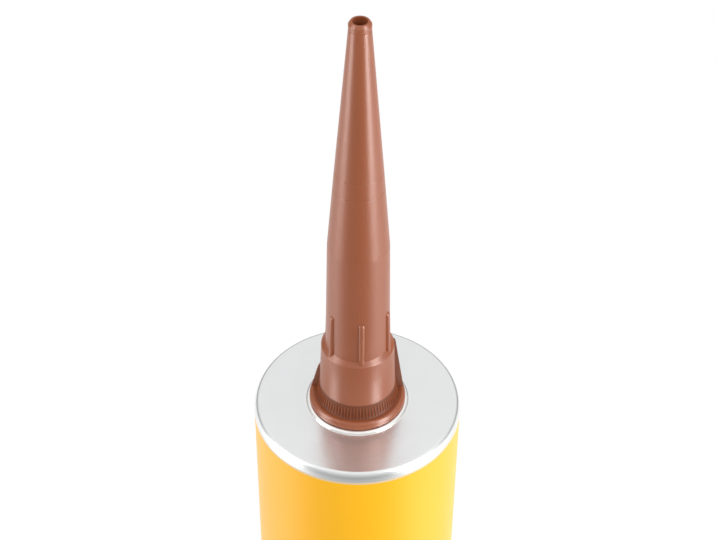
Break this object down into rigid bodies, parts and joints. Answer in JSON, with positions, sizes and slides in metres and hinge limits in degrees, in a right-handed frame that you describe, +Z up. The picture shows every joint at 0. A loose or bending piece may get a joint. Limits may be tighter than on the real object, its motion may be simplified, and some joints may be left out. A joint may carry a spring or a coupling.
{
  "type": "sealant cartridge with nozzle",
  "caption": "Tall round aluminium sealant cartridge with a yellow lacquered wall, a bare shoulder and a long tapered brown plastic nozzle.",
  "frame": {"origin": "centre of the rolled rear edge that the cartridge stands on", "axes": "+Z up the cartridge's axis to the nozzle tip; -Y faces the camera of the picture"},
  "size_m": [0.047, 0.047, 0.3168],
  "materials": {
    "lacquered_aluminium": "yellow and orange lacquer on the wall, bare satin aluminium on the shoulder, neck and rear edge",
    "nozzle_plastic": "brown polypropylene with a fine moulded grain",
    "piston_plastic": "natural polyethylene",
    "sealant": "soft brown paste"
  },
  "bodies": {
    "cartridge": {"cartridge": "lacquered_aluminium", "sealant": "sealant"},
    "nozzle": {"nozzle": "nozzle_plastic"},
    "piston": {"piston": "piston_plastic"}
  },
  "joints": [
    {"name": "nozzle_lift", "type": "slide", "parent": "cartridge", "child": "nozzle", "axis": [0, 0, 1], "range_m": [0, 0.03]},
    {"name": "piston_slide", "type": "slide", "parent": "cartridge", "child": "piston", "axis": [0, 0, 1], "range_m": [0, 0.1955], "deforming": ["sealant"]}
  ]
}
